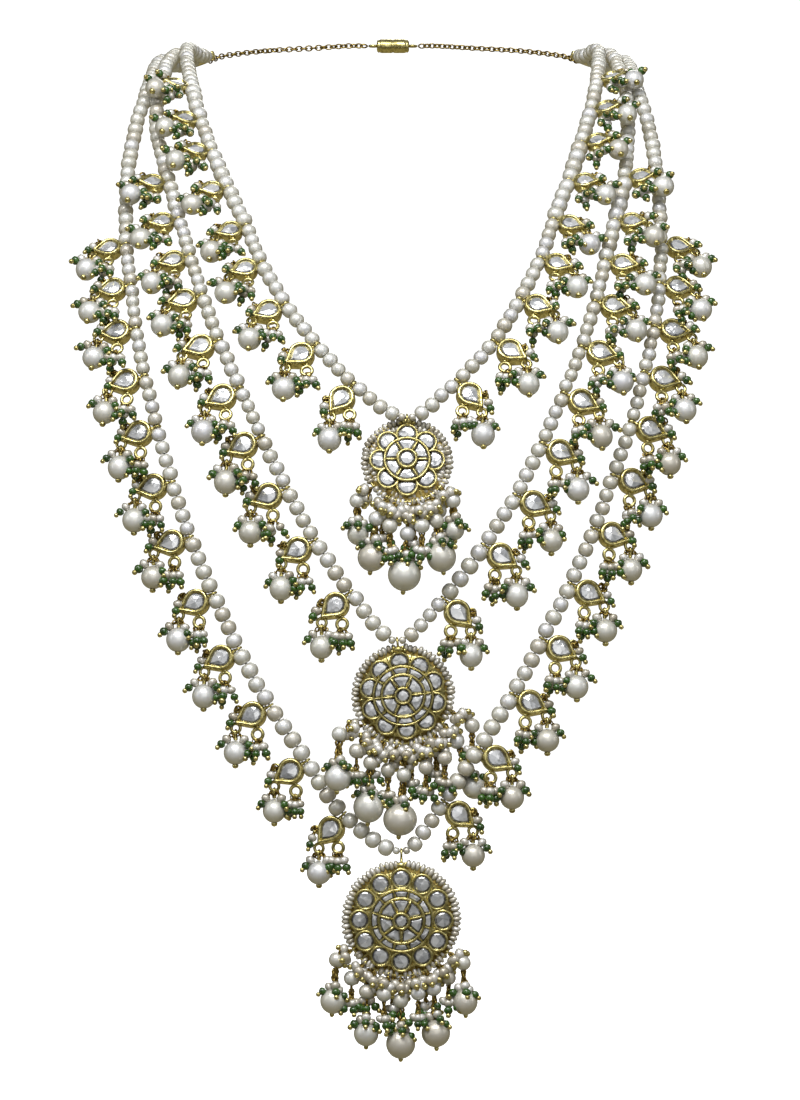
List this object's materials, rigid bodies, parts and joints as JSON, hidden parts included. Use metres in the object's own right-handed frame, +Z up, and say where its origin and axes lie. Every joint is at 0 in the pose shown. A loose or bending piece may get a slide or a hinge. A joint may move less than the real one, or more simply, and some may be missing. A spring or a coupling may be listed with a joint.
{
  "type": "necklace",
  "caption": "Layered pearl necklace in the polki style: teardrop gold settings with foil-backed stones along three strands, and a flower pendant with a pearl fringe at the middle of each.",
  "frame": {"origin": "the middle of the neck opening, at the height where the strands pass over the shoulders", "axes": "+Z up, -Y to the front where the pendants hang, +X to the right as seen from the front"},
  "size_m": [0.1946, 0.2095, 0.3268],
  "materials": {
    "pearl": "lustrous cream pearl",
    "drop_pearl": "lustrous cream pearl on a gold wire",
    "gold": "polished antique gold",
    "polki": "polished uncut diamond on silver foil"
  },
  "bodies": {
    "necklace": {"strand_inner_left": "pearl", "settings_inner_left": "gold", "polki_inner_left": "polki", "drops_inner_left": "drop_pearl", "strand_inner_right": "pearl", "settings_inner_right": "gold", "polki_inner_right": "polki", "drops_inner_right": "drop_pearl", "strand_middle_left": "pearl", "settings_middle_left": "gold", "polki_middle_left": "polki", "drops_middle_left": "drop_pearl", "strand_middle_right": "pearl", "settings_middle_right": "gold", "polki_middle_right": "polki", "drops_middle_right": "drop_pearl", "strand_outer_left": "pearl", "settings_outer_left": "gold", "polki_outer_left": "polki", "drops_outer_left": "drop_pearl", "strand_outer_right": "pearl", "settings_outer_right": "gold", "polki_outer_right": "polki", "drops_outer_right": "drop_pearl", "middle_flower": "gold", "middle_petal_polki": "polki", "middle_centre_polki": "polki", "middle_fringe_drop_1": "drop_pearl", "middle_fringe_drop_2": "drop_pearl", "middle_fringe_drop_3": "drop_pearl", "middle_fringe_drop_4": "drop_pearl", "end_bar_left": "gold", "nape_chain_left": "gold", "end_bar_right": "gold", "nape_chain_right": "gold", "clasp": "gold"},
    "small_pendant": {"small_flower": "gold", "small_petal_polki": "polki", "small_centre_polki": "polki", "small_fringe_drop_1": "drop_pearl", "small_fringe_drop_2": "drop_pearl", "small_fringe_drop_3": "drop_pearl", "small_fringe_drop_4": "drop_pearl", "small_fringe_drop_5": "drop_pearl"},
    "large_pendant": {"large_flower": "gold", "large_petal_polki": "polki", "large_centre_polki": "polki", "large_fringe_drop_1": "drop_pearl", "large_fringe_drop_2": "drop_pearl", "large_fringe_drop_3": "drop_pearl", "large_fringe_drop_4": "drop_pearl", "large_fringe_drop_5": "drop_pearl"}
  },
  "joints": [
    {"name": "small_swing", "type": "hinge", "parent": "necklace", "child": "small_pendant", "pos_m": [0.0045, -0.128, -0.124], "axis": [-1, 0, 0], "range_deg": [0, 60]},
    {"name": "large_swing", "type": "hinge", "parent": "necklace", "child": "large_pendant", "pos_m": [0.0028, -0.128, -0.2535], "axis": [-1, 0, 0], "range_deg": [-15, 60]}
  ]
}
